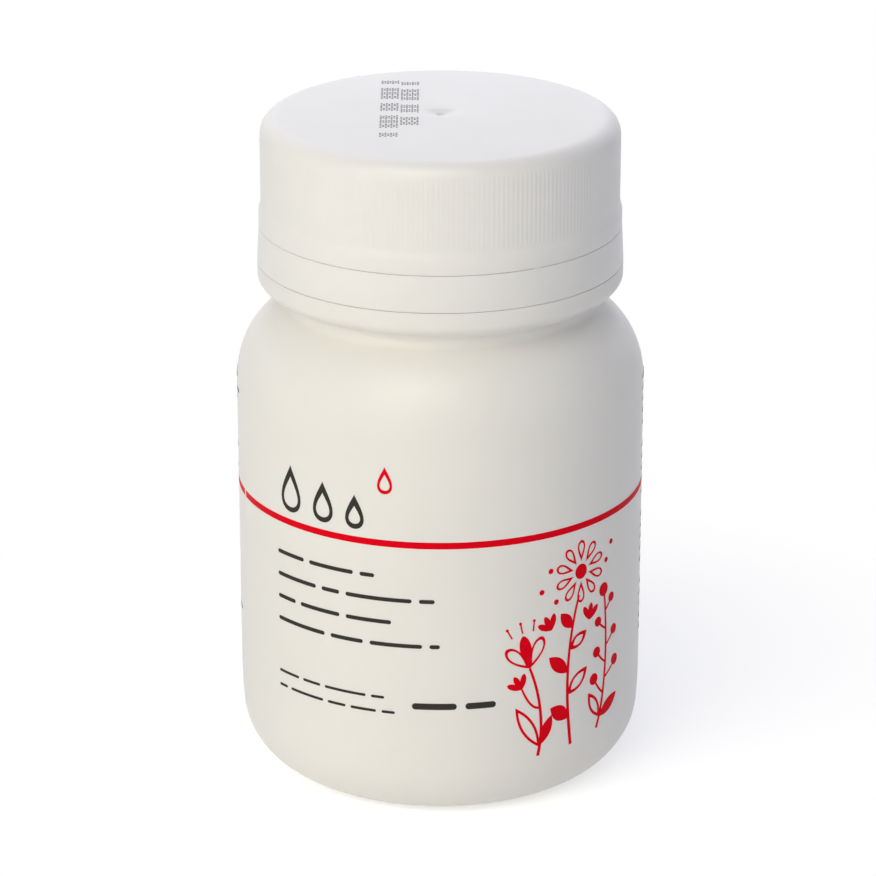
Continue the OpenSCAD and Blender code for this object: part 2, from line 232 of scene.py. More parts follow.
class StudioSettings(PropertyGroup):
    lens: FloatProperty(name="Lens", description="Focal length in millimetres", default=162.14, unit="CAMERA")
    distance: length("Distance", 469.29, "From the camera to the point it looks at")
    aim_x: length("Aim across", -0.27, "Sideways place of the point that the camera looks at")
    aim_z: length("Aim height", 39.77, "Height of the point that the camera looks at")
    elevation: angle("Elevation", 20.456, "Angle of the camera above the floor")
    lamp_aim_z: length("Lamp aim", 40, "Height of the point on the axis that the lamps face")
    key: power("Key light", 5.25, "The large warm light at the left")
    key_size: length("Key size", 800, "Width of the key light")
    key_place: point("Key place", (-410, -680, 400), "Middle of the key light")
    fill: power("Fill light", 0.2, "The weak cool light at the right")
    fill_size: length("Fill size", 500, "Width of the fill light")
    fill_place: point("Fill place", (750, -250, 300), "Middle of the fill light")
    sheen: power("Sheen light", 2.6, "The high light that shows only as a highlight")
    sheen_size: length("Sheen size", 500, "Width of the sheen light")
    sheen_place: point("Sheen place", (-120, -520, 700), "Middle of the sheen light")
    top: power("Top light", 0.49, "The cool light over the back")
    top_size: length("Top size", 200, "Width of the top light")
    top_place: point("Top place", (0, 200, 260), "Middle of the top light")
    world: FloatProperty(name="Even light", description="Level of the even light all round", default=0.385)
    warm_tint: tint("Warm tint", (1.0, 0.955, 0.77), "Colour of the key and sheen lights")
    cool_tint: tint("Cool tint", (0.91, 0.91, 1.0), "Colour of the top and fill lights")
    world_tint: tint("Even tint", (0.83, 0.845, 1.0), "Colour of the even light")
    floor_tint: tint("Floor tint", (0.92, 0.92, 0.92), "Colour of the floor's paint")
    floor_lift: share("Floor lift", 0.50, "Light that is added to the floor where it is seen")
    fade_near: length("Fade start", 28, "Distance from the axis at which the floor starts to turn white")
    fade_far: length("Fade end", 85, "Distance from the axis at which the floor is white")


def settings(name):
    """The sizes or colours of one group, as the scene holds them."""
    return getattr(bpy.context.scene, "sponge_jar_" + name)


# Outlines: lists of (radius, height) from which the round pieces are spun


def arc(x, z, rx, rz, start, end, steps=16):
    """Points along an elliptical arc between two angles in degrees. steps fill a quarter turn."""
    count = max(2, ceil(steps * abs(end - start) / 90))
    turns = [radians(start + (end - start) * i / count) for i in range(count + 1)]
    return [(x + rx * cos(a), z + rz * sin(a)) for a in turns]


def heel(inset, start=-90.0):
    """The bottle's heel at a depth under its outer surface, from an angle up to the straight side."""
    b = settings("bottle")
    turn = degrees(b.heel_lead_turn)
    heel_x, top_z = heel_place()
    lead_start = -0.8 * turn  # Past the point that both curves share
    return arc(heel_x, b.heel_r, b.heel_r - inset, b.heel_r - inset, start, -turn) + arc(
        BOTTLE[1].x - b.heel_lead_r, top_z, b.heel_lead_r - inset, b.heel_lead_r - inset, lead_start, 0,
        steps=60,
    )


def heel_place():
    """Radius of the heel arc's centre, and the height where the straight side starts."""
    b = settings("bottle")
    turn = b.heel_lead_turn
    heel_x = BOTTLE[1].x - b.heel_lead_r * (1 - cos(turn)) - b.heel_r * cos(turn)
    return heel_x, b.heel_r * (1 - sin(turn)) + b.heel_lead_r * sin(turn)


def dome(inset):
    """The pushed-up base at a height over its outer surface, from the middle out to the foot."""
    b = settings("bottle")
    foot_r = heel_place()[0] - b.foot_w
    push_r = (foot_r**2 + b.base_push**2) / (2 * b.base_push)
    centre_z = b.base_push - push_r
    r = push_r + inset
    edge = degrees(acos((inset - centre_z) / r))
    return arc(0, centre_z, r, r, 90, 90 - edge, steps=90)


def shoulder_end():
    """The angle at which the shoulder's curve hands over to the waist's fillet, with its outward normal."""
    b = settings("bottle")
    low, high = 0.0, pi / 2
    halvings = 40
    for _ in range(halvings):
        turn = (low + high) / 2
        normal = Vector((cos(turn) / b.shoulder_w, sin(turn) / b.shoulder_h)).normalized()
        reach = BOTTLE[1].x - b.shoulder_w * (1 - cos(turn)) + b.waist_fillet * normal.x
        if reach > b.lower_neck_r + b.waist_fillet:
            low = turn
        else:
            high = turn
    return turn, normal


def collar_top():
    """Height of the collar's flat top, on which the band nearly rests."""
    b = settings("bottle")
    return b.shoulder_z + b.shoulder_h + b.waist_h + b.collar_h


def bottle_outline():
    """From the middle of the base, up the outside, over the rim and down the inside to the floor."""
    b = settings("bottle")
    side_r, neck_top = BOTTLE[1].x, BOTTLE[1].z
    collar_z = collar_top()
    collar_under = collar_z - b.collar_h
    collar_r = BAND[1].x
    shoulder_x = side_r - b.shoulder_w
    stop, normal = shoulder_end()
    fillet_z = b.shoulder_z + b.shoulder_h * sin(stop) + b.waist_fillet * normal.y
    bead_under = collar_z + b.bead_z
    slope_z = bead_under + b.bead_edge_h + b.bead_slope_h
    edge = SMALL_EDGE
    collar_edge = settings("cap").seam_round
    collar_start = -84  # Angle at which the collar's curved underside leaves the waist
    slope_start = 50  # Angle at which the bead's edge turns into the slope on top of it
    bore_r = b.neck_r - b.neck_wall
    in_w, in_h = b.shoulder_w - b.wall, b.shoulder_h - b.wall
    in_stop = acos((bore_r - shoulder_x) / in_w)
    outside = (
        dome(0)
        + heel(0)
        + arc(shoulder_x, b.shoulder_z, b.shoulder_w, b.shoulder_h, 0, degrees(stop), steps=24)
        + arc(b.lower_neck_r + b.waist_fillet, fillet_z, b.waist_fillet, b.waist_fillet,
              180 + degrees(atan2(normal.y, normal.x)), 180)
        + arc(b.lower_neck_r, collar_under + b.collar_under_h, collar_r - b.lower_neck_r, b.collar_under_h,
              collar_start, 0)
        + arc(collar_r - collar_edge, collar_z - collar_edge, collar_edge, collar_edge, 0, 90)
        + [(b.lower_neck_r, collar_z), (b.lower_neck_r, bead_under)]
        + arc(b.bead_r - edge, bead_under + edge, edge, edge, -90, 0, steps=4)
        + arc(b.bead_r - edge, bead_under + b.bead_edge_h - edge, edge, edge, 0, slope_start, steps=6)
        + [(b.neck_r + edge, slope_z - edge), (b.neck_r, slope_z)]
        + arc(b.neck_r - b.rim_round, neck_top - b.rim_round, b.rim_round, b.rim_round, 0, 90)
    )
    inside = (
        arc(bore_r + b.rim_round, neck_top - b.rim_round, b.rim_round, b.rim_round, 90, 180)
        + [(bore_r, b.shoulder_z + in_h * sin(in_stop) + edge)]
        + arc(shoulder_x, b.shoulder_z, in_w, in_h, degrees(in_stop), 0)
        + heel(b.wall)[::-1]
        + dome(b.wall)[::-1]
    )
    return outside + inside


def side_radius(height):
    """Radius of the bottle's straight side and of the slow curve under it."""
    b = settings("bottle")
    drop = max(0.0, heel_place()[1] - height)
    return BOTTLE[1].x - b.heel_lead_r * (1 - cos(asin(drop / b.heel_lead_r)))


def cap_outline():
    """From the top's middle, down the outside, round the skirt's foot and up the bore to the liner's seat."""
    c = settings("cap")
    top, foot = CAP[1].z - c.crown_h, BAND[1].z + c.seam
    seat = top - c.top_t
    rib_foot = CAP[0].z + c.rib_z
    edge, lead_in = SMALL_EDGE, 0.3 * MM
    # The flare's two inner points: distance out from the rim or in from the skirt, and share of its height
    leave, leave_at = 0.06 * MM, 0.35
    join, join_at = 0.05 * MM, 0.8
    # The keeper bead: how far it stands in and how high up it that is, as shares of its size
    keeper = ((0, 0), (0.8, 0.25), (1, 0.5), (0.8, 0.75), (0, 1))
    return (
        gate_outline()
        + crown_outline()
        + arc(c.rim_r - c.round_w, top - c.round_h, c.round_w, c.round_h, 90 - degrees(crown_arc()[1]), 0,
              steps=18)
        + [(c.rim_r, rib_foot + 2 * edge), (c.rim_r, rib_foot + edge), (c.rim_r, rib_foot)]
        + [(c.rim_r + leave, rib_foot - leave_at * c.flare_h),
           (c.skirt_r - join, rib_foot - join_at * c.flare_h), (c.skirt_r, rib_foot - c.flare_h)]
        + arc(c.skirt_r - c.seam_round, foot + c.seam_round, c.seam_round, c.seam_round, 0, -90, steps=4)
        + [(c.bore_r + lead_in, foot), (c.bore_r, foot + lead_in)]
        + [(c.bore_r - c.keeper_out * inwards, c.keeper_z + c.keeper_h * up) for inwards, up in keeper]
        + [(c.bore_r, seat), (0, seat)]
    )


def crown_arc():
    """Radius of the cap's crowned top, and the angle that it covers from the axis out to the rounded edge."""
    c = settings("cap")
    flat_r = c.rim_r - c.round_w
    crown_r = (flat_r**2 + c.crown_h**2) / (2 * c.crown_h)
    return crown_r, asin(flat_r / crown_r)


def crown_height(r):
    """Height of the cap's crowned top at a distance from the axis."""
    crown_r = crown_arc()[0]
    return CAP[1].z - crown_r + (crown_r**2 - r**2) ** 0.5


def top_height(r):
    """Height of the cap's top at a distance from the axis, also where that is in the gate's dish."""
    for (r0, z0), (r1, z1) in zip(gate_outline(), gate_outline()[1:]):
        if r0 <= r < r1:
            return z0 + (z1 - z0) * (r - r0) / (r1 - r0)
    return crown_height(r)


def crown_outline(steps=10):
    """The crowned top, from the edge of the gate's dish out to the rounded edge."""
    c = settings("cap")
    flat_r = c.rim_r - c.round_w
    radii = [c.gate_r + (flat_r - c.gate_r) * i / steps for i in range(steps + 1)]
    return [(r, crown_height(r)) for r in radii[1:]]


def gate_outline():
    """The small pit that the mould's gate leaves, and the shallow cone-shaped dish round it."""
    c = settings("cap")
    floor = CAP[1].z - c.gate_depth
    rise = crown_height(c.gate_r) - floor
    # Shares of the pit's radius and depth, and then of the dish's radius and rise
    pit = ((0, 1), (0.7, 1), (1, 0.5), (1.3, 0))
    cone = ((0.2, 0.06), (0.35, 0.24), (0.55, 0.50), (0.75, 0.75), (0.88, 0.89), (0.96, 0.97), (1, 1))
    return [(c.pit_r * along, floor - c.pit_depth * down) for along, down in pit] + [
        (c.gate_r * along, floor + rise * up) for along, up in cone
    ]


def band_outline():
    """A closed outline: the bore, the foot, the flared outside and the top edge."""
    c = settings("cap")
    foot, edge = collar_top() + c.seam, c.seam_round
    return (
        [(c.band_bore_r, foot + edge), (c.band_bore_r + edge, foot)]
        + arc(BAND[1].x - edge, foot + edge, edge, edge, -90, 0, steps=4)
        + arc(c.skirt_r - edge, BAND[1].z - edge, edge, edge, 0, 90, steps=4)
        + [(c.band_bore_r, BAND[1].z)]
    )


def flap_outline():
    """A closed outline: a catch flap that leans in and up from the band's foot."""
    c = settings("cap")
    sink = 0.3 * MM
    root_z, tip_z = BAND[0].z + c.flap_root_z, BAND[0].z + c.flap_tip_z
    tip_t = 0.7 * c.flap_t
    return [
        (c.band_bore_r + sink, root_z), (c.band_bore_r + sink, root_z + c.flap_t), (c.flap_tip_r, tip_z),
        (c.flap_tip_r, tip_z - tip_t), (c.band_bore_r - sink, root_z),
    ]


def liner_outline():
    """From the middle of the underside, past the ring that the neck's rim has pressed into it, to the top."""
    b = settings("bottle")
    low, high, r = LINER[0].z, LINER[1].z, LINER[1].x
    edge = 0.12 * MM
    press = 0.04 * MM
    ring_in, ring_out = b.neck_r - b.neck_wall, b.neck_r
    return (
        [(0, low), (ring_in - edge, low), (ring_in + edge, low + press), (ring_out - edge, low + press),
         (ring_out + edge, low)]
        + arc(r - edge, low + edge, edge, edge, -90, 0, steps=3)
        + arc(r - edge, high - edge, edge, edge, 0, 90, steps=3)
        + [(0, high)]
    )


def sponge_outline():
    """From the middle of the underside, up the side, over the top and down the finger hole."""
    b, s = settings("bottle"), settings("sponge")
    inset = BOTTLE[1].x - s.side_r
    low, high = SPONGE[0].z, SPONGE[1].z
    start = -degrees(asin((b.heel_r - low) / (b.heel_r - inset)))
    hole_z = high - s.hole_depth
    return (
        [(0, low)]
        + heel(inset, start)
        + arc(s.side_r - s.edge_r, high - s.edge_r, s.edge_r, s.edge_r, 0, 90)
        + arc(s.hole_r + s.mouth_r, high - s.mouth_r, s.mouth_r, s.mouth_r, 90, 180)
        + arc(0, hole_z + s.hole_r, s.hole_r, s.hole_r, 0, -90)
    )


def pool_outline():
    """From the middle of the pushed-up floor, out to the heel and back along the surface."""
    b = settings("bottle")
    gap = 0.05 * MM
    inset = b.wall + gap
    top = POOL[1].z
    # The surface climbs a little where it meets the wall
    climb = 0.25 * MM
    level = top - 0.5 * climb
    heel_x = heel_place()[0]
    end = -degrees(asin((b.heel_r - top) / (b.heel_r - inset)))
    edge_r = heel_x + (b.heel_r - inset) * cos(radians(end))
    return (
        dome(inset)
        + arc(heel_x, b.heel_r, b.heel_r - inset, b.heel_r - inset, -90, end)
        + [(edge_r - climb, top - 0.3 * climb), (edge_r - 3 * climb, level), (0, level)]
    )


def evened(points, step):
    """The same outline with more points, so that no stretch of it is longer than step."""
    out = [points[0]]
    for (r0, z0), (r1, z1) in zip(points, points[1:]):
        count = max(1, ceil(hypot(r1 - r0, z1 - z0) / step))
        out += [(r0 + (r1 - r0) * i / count, z0 + (z1 - z0) * i / count) for i in range(1, count + 1)]
    return out


# Mesh helpers


def spin(bm, geom, steps, sweep=tau, rise=0.0, full=False):
    """Sweeps vertices, edges or faces round the jar's axis. rise is how far each step climbs."""
    bmesh.ops.spin(
        bm, geom=geom, cent=(0, 0, 0), axis=(0, 0, 1), dvec=(0, 0, rise), angle=sweep, steps=steps,
        use_merge=full,
    )


def lathe(bm, outline, steps, closed=False):
    """Spins an outline of (radius, height) points once round the jar's axis."""
    same_place = 1e-7
    verts = [bm.verts.new((r, 0, z)) for r, z in outline]
    pairs = list(zip(verts, verts[1:])) + ([(verts[-1], verts[0])] if closed else [])
    edges = [bm.edges.new(pair) for pair in pairs]
    spin(bm, verts + edges, steps, full=True)
    poles = [v for v in bm.verts if hypot(v.co.x, v.co.y) < same_place]
    bmesh.ops.remove_doubles(bm, verts=poles, dist=same_place)


def sector(bm, outline, start, sweep, steps):
    """Spins a closed outline through part of a turn, as a closed solid."""
    turn = Matrix.Rotation(start, 3, "Z")
    face = bm.faces.new([bm.verts.new(turn @ Vector((r, 0, z))) for r, z in outline])
    spin(bm, [face, *face.edges, *face.verts], steps, sweep)


def ridge(bm, wall_r, inwards, middle_z, start, steps=60):
    """Winds a right-hand screw ridge up a wall: it grows out of the wall at one end and sinks back at the
    other. middle_z is the height that the ridge's middle has, or would have, over +X."""
    t = settings("thread")
    out = -1 if inwards else 1
    sink = 0.42 * MM
    buried = 0.1 * MM  # How far under the wall the crest lies where the ridge has sunk away
    crest, root, soft = t.crest_w / 2, t.base_w / 2, t.crest_round
    # The lower half of the section, whose last three points round off the crest's corner: how far out of the
    # wall, as a share of the depth, and height
    half = [(-sink / t.depth, -root), (1 - 1.2 * soft / t.depth, -crest - 0.2 * soft),
            (1 - 0.3 * soft / t.depth, -crest + 0.4 * soft), (1, -crest + soft)]
    section = half + [(share_out, -z) for share_out, z in reversed(half)]
    share_layer = bm.verts.layers.float.new("share")
    height_layer = bm.verts.layers.float.new("height")
    start_z = middle_z + t.lead * start / tau
    verts = []
    for share_out, z in section:
        r = wall_r + out * share_out * t.depth
        vert = bm.verts.new((r * cos(start), r * sin(start), start_z + z))
        vert[share_layer] = share_out
        vert[height_layer] = z
        verts.append(vert)
    face = bm.faces.new(verts)
    count = round(steps * t.turns)
    spin(bm, [face, *face.edges, *face.verts], count, tau * t.turns, t.lead * t.turns / count)
    for vert in bm.verts:
        if vert[share_layer] <= 0:
            continue
        turned = (vert.co.z - vert[height_layer] - start_z) / t.lead * tau
        grown = max(0.0, min(1.0, turned / t.fade, (tau * t.turns - turned) / t.fade))
        level = vert[share_layer] * t.depth * grown - buried * (1 - grown)
        moved = Vector((vert.co.x, vert.co.y, 0)).normalized() * (wall_r + out * level)
        vert.co.x, vert.co.y = moved.x, moved.y
    for layer in ("share", "height"):
        bm.verts.layers.float.remove(bm.verts.layers.float[layer])


def joined(*meshes):
    """One bmesh that holds the closed shells of several."""
    bm = bmesh.new()
    for part in meshes:
        scratch = bpy.data.meshes.new("scratch")
        part.to_mesh(scratch)
        part.free()
        bm.from_mesh(scratch)
        bpy.data.meshes.remove(scratch)
    return bm


def finished(bm, name, material, body, sharp=35.0):
    """Turns a bmesh into a smooth piece that rides on a body. Edges of sharp degrees and more stay crisp."""
    bmesh.ops.recalc_face_normals(bm, faces=bm.faces)
    limit = radians(sharp)
    for face in bm.faces:
        face.smooth = True
    for edge in bm.edges:
        edge.smooth = len(edge.link_faces) == 2 and edge.calc_face_angle(0) < limit
    mesh = bpy.data.meshes.new(name)
    bm.to_mesh(mesh)
    bm.free()
    mesh.materials.append(material)
    piece = bpy.data.objects.new(name, mesh)
    bpy.context.scene.collection.objects.link(piece)
    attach(piece, body)
    return piece


# Ink: flat marks are drawn in the XZ plane, with X as the distance along the side to the right of the front


def at(u, z):
    """A place on the print, given in millimetres: along the side from the front, and height."""
    return u * MM, z * MM


def dot(bm, u, z, r, lift, segments=16):
    """A round dot."""
    place = Matrix.Translation((u, -lift, z)) @ Matrix.Rotation(pi / 2, 4, "X")
    bmesh.ops.create_circle(bm, cap_ends=True, radius=r, segments=segments, matrix=place)


def dash(bm, u, z, long, high, lift):
    """A bar with round ends, from u to the right."""
    segments = 16
    half_step = pi / segments  # So that the circle has as many points on the left as on the right
    place = Matrix.Rotation(pi / 2, 4, "X") @ Matrix.Rotation(half_step, 4, "Z")
    made = bmesh.ops.create_circle(bm, cap_ends=True, radius=high / 2, segments=segments, matrix=place)
    reach = (long - high) / 2
    for vert in made["verts"]:
        vert.co.x += u + long / 2 + (reach if vert.co.x > 0 else -reach)
        vert.co.y = -lift
        vert.co.z += z


def leaf_shape(bm, filled, root, reach, width, turn, lift, pinch, swell):
    """The outline of a leaf, as the edges of one closed loop, filled or not."""
    made = bmesh.ops.create_circle(bm, cap_ends=filled, radius=1, segments=28)["verts"]
    lean = radians(turn)
    for vert in made:
        t = atan2(vert.co.y, vert.co.x)
        far = (1 - cos(t)) / 2
        along = reach * far
        across = width / 2 * sin(t) * abs(sin(t)) ** pinch * far**swell
        vert.co = (root[0] + along * sin(lean) + across * cos(lean), -lift,
                   root[1] + along * cos(lean) - across * sin(lean))
    return list({edge for vert in made for edge in vert.link_edges})


def blade(bm, root, reach, width, turn, lift, pinch=1.0, swell=0.0, hollow=0.0):
    """A leaf or petal that starts at root and leans turn degrees to the right of upright. pinch points both
    of its ends, and swell makes its far end the broader one. hollow is the width of its line, or 0 for a
    filled one."""
    outer = leaf_shape(bm, not hollow, root, reach, width, turn, lift, pinch, swell)
    if hollow:
        # An end's ink, in widths of the line: a pointed end keeps more of it than a round one
        pointed, rounded, round_swell = 2.2, 1.0, 0.7
        start = pointed * hollow
        stop = (pointed + (rounded - pointed) * min(1, swell / round_swell)) * hollow
        inner_root = (root[0] + start * sin(radians(turn)), root[1] + start * cos(radians(turn)))
        inner = leaf_shape(
            bm, False, inner_root, reach - start - stop, width - 2 * hollow, turn, lift, pinch, swell
        )
        bmesh.ops.bridge_loops(bm, edges=outer + inner)


def stem(bm, start, bend, end, wide, narrow, lift, segments=16):
    """A line that tapers from start to end and is drawn towards bend on the way."""
    made = bmesh.ops.create_grid(bm, x_segments=segments, y_segments=1, size=1)
    a, b, c = Vector(start), Vector(bend), Vector(end)
    for vert in made["verts"]:
        t = (vert.co.x + 1) / 2
        place = a * (1 - t) ** 2 + b * 2 * t * (1 - t) + c * t * t
        heading = ((b - a) * (1 - t) + (c - b) * t).normalized()
        half = (wide + (narrow - wide) * t) / 2 * vert.co.y
        vert.co = (place.x - heading.y * half, -lift, place.y + heading.x * half)


def on_curve(start, bend, end, t):
    """A point of a stem's line and its lean to the right of upright, in degrees."""
    a, b, c = Vector(start), Vector(bend), Vector(end)
    heading = (b - a) * (1 - t) + (c - b) * t
    return a * (1 - t) ** 2 + b * 2 * t * (1 - t) + c * t * t, degrees(atan2(heading.x, heading.y))


def daisy(bm, centre, petals, reach, width, lift, hollow=0.0):
    """A flower seen from the front: a ring of petals round a dot."""
    eye = 0.24 * reach
    ring = 1.3 * eye
    for i in range(petals):
        turn = 360 * i / petals
        root = (centre[0] + ring * sin(radians(turn)), centre[1] + ring * cos(radians(turn)))
        blade(bm, root, reach - ring, width, turn, lift, pinch=0.15, swell=0.75, hollow=hollow)
    dot(bm, *centre, eye, lift, segments=20)


def tulip(bm, root, turn, size, line, lift):
    """A flower seen from the side: a filled petal between two outlined ones, with three threads above."""
    petal_lean, thread_lean = 36, 17
    thread_from, thread_to = 1.08 * size, 1.38 * size
    over = OVERPRINT * lift
    for lean in (-petal_lean, petal_lean):
        blade(bm, root, 0.95 * size, 0.5 * size, turn + lean, lift, pinch=0.1, swell=0.5, hollow=line)
    blade(bm, root, size, 0.42 * size, turn, over, pinch=0.25, swell=0.3)
    for lean in (-thread_lean, 0, thread_lean):
        aim = radians(turn + lean)
        heading = Vector((sin(aim), cos(aim)))
        near, far = Vector(root) + heading * thread_from, Vector(root) + heading * thread_to
        stem(bm, near, (near + far) / 2, far, 0.6 * line, 0.6 * line, lift, segments=3)
        dot(bm, *far, 0.6 * line, over, segments=10)


def wrapped(bm, cut=0.5 * MM):
    """Cuts flat marks into narrow strips, gives them thickness and lays them round the bottle's side."""
    p = settings("print")
    low = min(v.co.x for v in bm.verts)
    high = max(v.co.x for v in bm.verts)
    for i in range(1, ceil((high - low) / cut)):
        bmesh.ops.bisect_plane(
            bm, geom=[*bm.verts, *bm.edges, *bm.faces], dist=1e-8, plane_co=(low + cut * i, 0, 0),
            plane_no=(1, 0, 0),
        )
    made = bmesh.ops.extrude_face_region(bm, geom=list(bm.faces), use_keep_orig=True)
    for item in made["geom"]:
        if isinstance(item, bmesh.types.BMVert):
            item.co.y = p.ink_sunk
    for vert in bm.verts:
        u, depth, z = vert.co
        r = side_radius(z) - depth
        turn = u / BOTTLE[1].x
        vert.co = (r * sin(turn), -r * cos(turn), z)
    return bm


# Materials


def set_inputs(tree, node, values):
    """Gives each named input of a node its value, or a link where the value is another node's output."""
    for name, value in values.items():
        if isinstance(value, bpy.types.NodeSocket):
            tree.links.new(value, node.inputs[name])
        else:
            node.inputs[name].default_value = value


def add_node(tree, kind, values=None, **options):
    """A new shader node. Its options come first, because they decide which inputs it has."""
    node = tree.nodes.new("ShaderNode" + kind)
    for name, value in options.items():
        setattr(node, name, value)
    set_inputs(tree, node, values or {})
    return node


def mixed(tree, factor, first, second):
    """The first shader where factor is 0 and the second where it is 1."""
    return add_node(tree, "MixShader", {0: factor, 1: first.outputs[0], 2: second.outputs[0]})


class Shader:
    """A new material with its surface shader and Object coordinates."""

    def __init__(self, name, colour, roughness):
        self.material = bpy.data.materials.new(name)
        self.material.use_nodes = True
        self.tree = self.material.node_tree
        self.surface = self.tree.nodes["Principled BSDF"]
        self.place = self.add("TexCoord").outputs["Object"]
        self.colour = colour
        self.set({"Base Color": (*colour, 1), "Roughness": roughness})

    def add(self, kind, values=None, **options):
        return add_node(self.tree, kind, values, **options)

    def set(self, values):
        """Sets or links inputs of the surface shader."""
        set_inputs(self.tree, self.surface, values)

    def noise(self, size, detail=2.0, rough=0.5):
        """Cloudy noise whose features are about size metres wide."""
        values = {"Vector": self.place, "Scale": 1 / size, "Detail": detail, "Roughness": rough}
        return self.add("TexNoise", values).outputs["Fac"]

    def cells(self, size, feature="F1"):
        """Round cells about size metres wide."""
        values = {"Vector": self.place, "Scale": 1 / size}
        return self.add("TexVoronoi", values, feature=feature).outputs["Distance"]

    def spread(self, factor, low, high, start=0.3, stop=0.7):
        """A number that goes from low to high as factor goes from start to stop."""
        values = {"Value": factor, "From Min": start, "From Max": stop, "To Min": low, "To Max": high}
        return self.add("MapRange", values).outputs["Result"]

    def vary_colour(self, factor, dark, light, start=0.3, stop=0.7):
        """The base colour goes from dark to light, each of them a multiple of the piece's own colour."""
        ends = [(*(min(1, c * k) for c, k in zip(self.colour, shade)), 1) for shade in (dark, light)]
        values = {"Factor": self.spread(factor, 0, 1, start, stop), "A": ends[0], "B": ends[1]}
        self.set({"Base Color": self.add("Mix", values, data_type="RGBA").outputs["Result"]})

    def paint_shade(self, centre, radii, level):
        """Painted shade: darkens the base colour to a share of itself inside an upright column, with a soft
        edge.
        """
        edge_in, edge_out = 0.55, 1.1
        values = {
            "Vector": self.place,
            "Location": (-centre[0] / radii[0], -centre[1] / radii[1], 0),
            "Scale": (1 / radii[0], 1 / radii[1], 0),
        }
        column = self.add("Mapping", values).outputs["Vector"]
        reach = self.add("VectorMath", {0: column}, operation="LENGTH").outputs["Value"]
        values = {
            0: self.surface.inputs["Base Color"].links[0].from_socket,
            "Scale": self.spread(reach, level, 1, edge_in, edge_out),
        }
        self.set({"Base Color": self.add("VectorMath", values, operation="SCALE").outputs["Vector"]})

    def vary_roughness(self, factor, low, high):
        self.set({"Roughness": self.spread(factor, low, high)})

    def bump(self, *layers):
        """Each layer is a factor, the height of its relief in metres, below 0 for pits, and its strength."""
        under = {}
        for factor, height, strength in layers:
            values = {"Height": factor, "Distance": abs(height), "Strength": strength, **under}
            under = {"Normal": self.add("Bump", values, invert=height < 0).outputs["Normal"]}
        self.set(under)


def even(level):
    """The same multiple for red, green and blue."""
    return level, level, level


def bottle_plastic():
    """Blow-moulded polyethylene: satin, a little milky, with slow waves and a fine skin."""
    f = settings("finish")
    s = Shader("bottle_polyethylene", f.bottle, f.bottle_rough)
    clouds, patches = s.noise(14 * MM, detail=3), s.noise(5 * MM, detail=4, rough=0.6)
    waves, skin = s.noise(16 * MM, detail=1, rough=0.4), s.noise(0.35 * MM, detail=3, rough=0.6)
    s.vary_colour(clouds, dark=(0.985, 0.985, 0.98), light=even(1.01))
    s.vary_roughness(patches, f.bottle_rough - 0.04, f.bottle_rough + 0.05)
    s.bump((waves, 0.15 * MM, 0.25), (skin, 0.006 * MM, 0.35))
    s.set({
        "Subsurface Weight": 0.18, "Subsurface Scale": 0.9 * MM, "Subsurface Radius": (1.0, 0.85, 0.7),
        "IOR": 1.5,
    })
    return s.material


def cap_plastic():
    """Injection-moulded polypropylene: a touch cooler and smoother, with painted shade on the back half of
    its gate's dish.
    """
    f = settings("finish")
    s = Shader("cap_polypropylene", f.cap, f.cap_rough)
    clouds, patches = s.noise(9 * MM, detail=3), s.noise(3 * MM, detail=4, rough=0.6)
    waves, skin = s.noise(11 * MM, detail=1, rough=0.4), s.noise(0.25 * MM, detail=3, rough=0.6)
    s.vary_colour(clouds, dark=even(0.985), light=even(1.01))
    # Painted shade: the back half of the gate's dish is darkened, as the shade that falls on its far wall
    s.paint_shade(centre=(0, 0.85 * MM), radii=(1.75 * MM, 1.0 * MM), level=0.86)
    s.vary_roughness(patches, f.cap_rough - 0.04, f.cap_rough + 0.05)
    s.bump((waves, 0.05 * MM, 0.25), (skin, 0.005 * MM, 0.35))
    s.set({
        "Subsurface Weight": 0.18, "Subsurface Scale": 0.8 * MM, "Subsurface Radius": (1.0, 0.88, 0.76),
        "IOR": 1.5,
    })
    return s.material


def ink(name, colour, roughness):
    """Screen-printed ink: even, with the faint mottle of the mesh."""
    s = Shader(name, colour, roughness)
    mottle, patches = s.noise(0.5 * MM, detail=3, rough=0.6), s.noise(0.9 * MM)
    s.vary_colour(mottle, dark=even(0.9), light=even(1.06))
    s.vary_roughness(patches, roughness - 0.05, roughness + 0.06)
    s.bump((s.noise(0.2 * MM), 0.002 * MM, 0.4))
    s.set({"Specular IOR Level": 0.03})
    return s.material


def sponge_foam():
    """Soaked open-cell foam: pale walls round pores that are darkened with painted shade."""
    f, size = settings("finish"), settings("sponge").cell
    s = Shader("soaked_foam", f.foam, 0.75)
    pores, fine = (s.cells(across * size, "DISTANCE_TO_EDGE") for across in (0.55, 0.22))
    # Painted shade: the pores are darker than the walls, as the shade in the pits that the bump sinks
    s.vary_colour(pores, dark=(1.08, 1.08, 1.12), light=(0.72, 0.66, 0.55), start=0.02, stop=0.32)
    s.vary_roughness(s.noise(4 * MM, detail=3), 0.6, 0.85)
    s.bump((pores, -0.35 * MM, 0.8), (fine, -0.1 * MM, 0.6))
    s.set({"Subsurface Weight": 0.2, "Subsurface Scale": 1.2 * MM})
    return s.material


def liner_foam():
    """Foamed polyethylene: matte, with fine closed cells."""
    s = Shader("liner_foam", settings("finish").liner, 0.6)
    s.vary_colour(s.noise(3 * MM, detail=3), dark=even(0.97), light=even(1.02))
    s.vary_roughness(s.noise(2 * MM), 0.52, 0.68)
    s.bump((s.cells(0.35 * MM), 0.03 * MM, 0.4))
    s.set({"Subsurface Weight": 0.15, "Subsurface Scale": 0.8 * MM})
    return s.material


def remover_liquid():
    """A thin clear liquid with a faint amber tint."""
    s = Shader("remover_liquid", settings("finish").remover, 0.04)
    s.vary_colour(s.noise(6 * MM), dark=(0.97, 0.96, 0.94), light=even(1.02))
    s.bump((s.noise(7 * MM), 0.05 * MM, 0.3))
    s.set({"Transmission Weight": 0.85, "IOR": 1.36})
    return s.material


